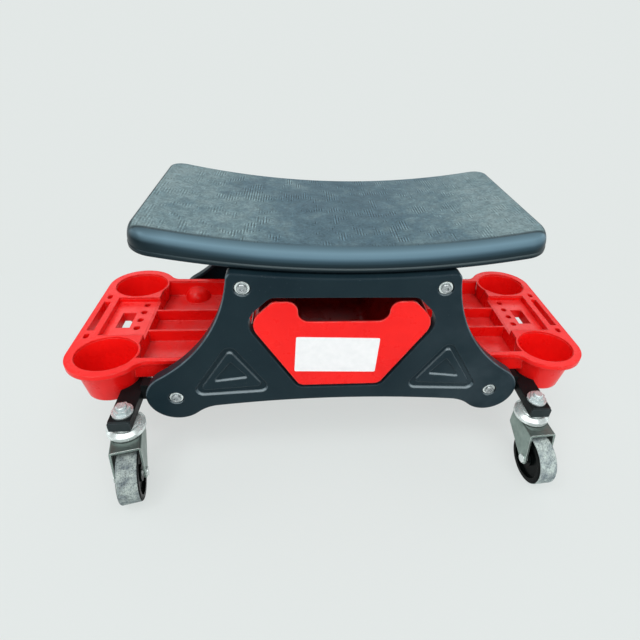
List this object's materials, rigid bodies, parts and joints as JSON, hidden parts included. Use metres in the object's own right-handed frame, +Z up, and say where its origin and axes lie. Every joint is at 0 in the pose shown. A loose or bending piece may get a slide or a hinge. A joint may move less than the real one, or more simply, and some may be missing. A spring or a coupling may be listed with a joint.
{
  "type": "rolling mechanic seat",
  "caption": "Low rolling workshop seat: curved padded top on flared side panels, red tool trays with cups and bins at both ends, sliding drawer and swivel casters.",
  "frame": {"origin": "on the floor under the middle of the seat", "axes": "+X along the seat's length to the right, +Y from the drawer front to the back, +Z up"},
  "size_m": [0.6666, 0.4088, 0.3235],
  "materials": {
    "seat_skin": "fine-grained dark slate moulded skin",
    "pan_black": "matt black moulded plastic",
    "panel_black": "satin blue-black moulded plastic",
    "tray_red": "bright red moulded plastic, soft gloss",
    "frame_black": "black powder coat",
    "runner_black": "matt black plastic",
    "plug_black": "dark grey plastic",
    "zinc_steel": "bright zinc plate",
    "bearing_steel": "ground steel",
    "bolt_steel": "bright zinc plate",
    "hub_black": "black moulded plastic",
    "tyre_grey": "worn grey tread",
    "label_white": "plain white label"
  },
  "bodies": {
    "chassis": {"caster_front_left_stud": "zinc_steel", "caster_front_left_swivel_race": "zinc_steel", "caster_front_right_stud": "zinc_steel", "caster_front_right_swivel_race": "zinc_steel", "caster_nuts": "zinc_steel", "caster_rear_left_stud": "zinc_steel", "caster_rear_left_swivel_race": "zinc_steel", "caster_rear_right_stud": "zinc_steel", "caster_rear_right_swivel_race": "zinc_steel", "cross_rail_front": "frame_black", "cross_rail_rear": "frame_black", "crossbars": "frame_black", "drawer_runner_left": "runner_black", "drawer_runner_right": "runner_black", "drawer_stop_tabs": "frame_black", "end_plugs": "plug_black", "end_tube_left": "frame_black", "end_tube_right": "frame_black", "panel_bolts": "bolt_steel", "panel_washers": "bolt_steel", "seat_base_pan": "pan_black", "seat_bracket_front": "frame_black", "seat_bracket_rear": "frame_black", "seat_cushion": "seat_skin", "seat_screws": "bolt_steel", "side_panel_front": "panel_black", "side_panel_rear": "panel_black", "tie_tubes": "frame_black", "tool_bins_left": "tray_red", "tool_bins_right": "tray_red", "tool_cups_left": "tray_red", "tool_cups_right": "tray_red", "tool_deck_left": "tray_red", "tool_deck_right": "tray_red", "tool_tray_left": "tray_red", "tool_tray_right": "tray_red", "tray_screws": "bolt_steel"},
    "drawer": {"drawer": "tray_red", "drawer_label": "label_white"},
    "swivel_front_left": {"caster_front_left_fork": "zinc_steel", "caster_front_left_axle": "zinc_steel", "caster_front_left_swivel_balls": "bearing_steel"},
    "wheel_front_left": {"caster_front_left_wheel_hub": "hub_black", "caster_front_left_tyre": "tyre_grey"},
    "swivel_front_right": {"caster_front_right_fork": "zinc_steel", "caster_front_right_axle": "zinc_steel", "caster_front_right_swivel_balls": "bearing_steel"},
    "wheel_front_right": {"caster_front_right_wheel_hub": "hub_black", "caster_front_right_tyre": "tyre_grey"},
    "swivel_rear_right": {"caster_rear_right_fork": "zinc_steel", "caster_rear_right_axle": "zinc_steel", "caster_rear_right_swivel_balls": "bearing_steel"},
    "wheel_rear_right": {"caster_rear_right_wheel_hub": "hub_black", "caster_rear_right_tyre": "tyre_grey"},
    "swivel_rear_left": {"caster_rear_left_fork": "zinc_steel", "caster_rear_left_axle": "zinc_steel", "caster_rear_left_swivel_balls": "bearing_steel"},
    "wheel_rear_left": {"caster_rear_left_wheel_hub": "hub_black", "caster_rear_left_tyre": "tyre_grey"}
  },
  "joints": [
    {"name": "drawer_slide", "type": "slide", "parent": "chassis", "child": "drawer", "axis": [0, -1, 0], "range_m": [0, 0.15]},
    {"name": "swivel_turn_front_left", "type": "hinge", "parent": "chassis", "child": "swivel_front_left", "pos_m": [-0.256, -0.138, 0.0715], "axis": [0, 0, 1], "continuous": true},
    {"name": "wheel_spin_front_left", "type": "hinge", "parent": "swivel_front_left", "child": "wheel_front_left", "pos_m": [-0.24893, -0.17126, 0.03175], "axis": [0.9781, 0.2079, 0], "continuous": true},
    {"name": "swivel_turn_front_right", "type": "hinge", "parent": "chassis", "child": "swivel_front_right", "pos_m": [0.256, -0.138, 0.0715], "axis": [0, 0, 1], "continuous": true},
    {"name": "wheel_spin_front_right", "type": "hinge", "parent": "swivel_front_right", "child": "wheel_front_right", "pos_m": [0.25796, -0.17194, 0.03175], "axis": [0.9983, 0.0576, 0], "continuous": true},
    {"name": "swivel_turn_rear_right", "type": "hinge", "parent": "chassis", "child": "swivel_rear_right", "pos_m": [0.256, 0.138, 0.0715], "axis": [0, 0, 1], "continuous": true},
    {"name": "wheel_spin_rear_right", "type": "hinge", "parent": "swivel_rear_right", "child": "wheel_rear_right", "pos_m": [0.24893, 0.17126, 0.03175], "axis": [-0.9781, -0.2079, 0], "continuous": true},
    {"name": "swivel_turn_rear_left", "type": "hinge", "parent": "chassis", "child": "swivel_rear_left", "pos_m": [-0.256, 0.138, 0.0715], "axis": [0, 0, 1], "continuous": true},
    {"name": "wheel_spin_rear_left", "type": "hinge", "parent": "swivel_rear_left", "child": "wheel_rear_left", "pos_m": [-0.25796, 0.17194, 0.03175], "axis": [-0.9983, -0.0576, 0], "continuous": true}
  ]
}
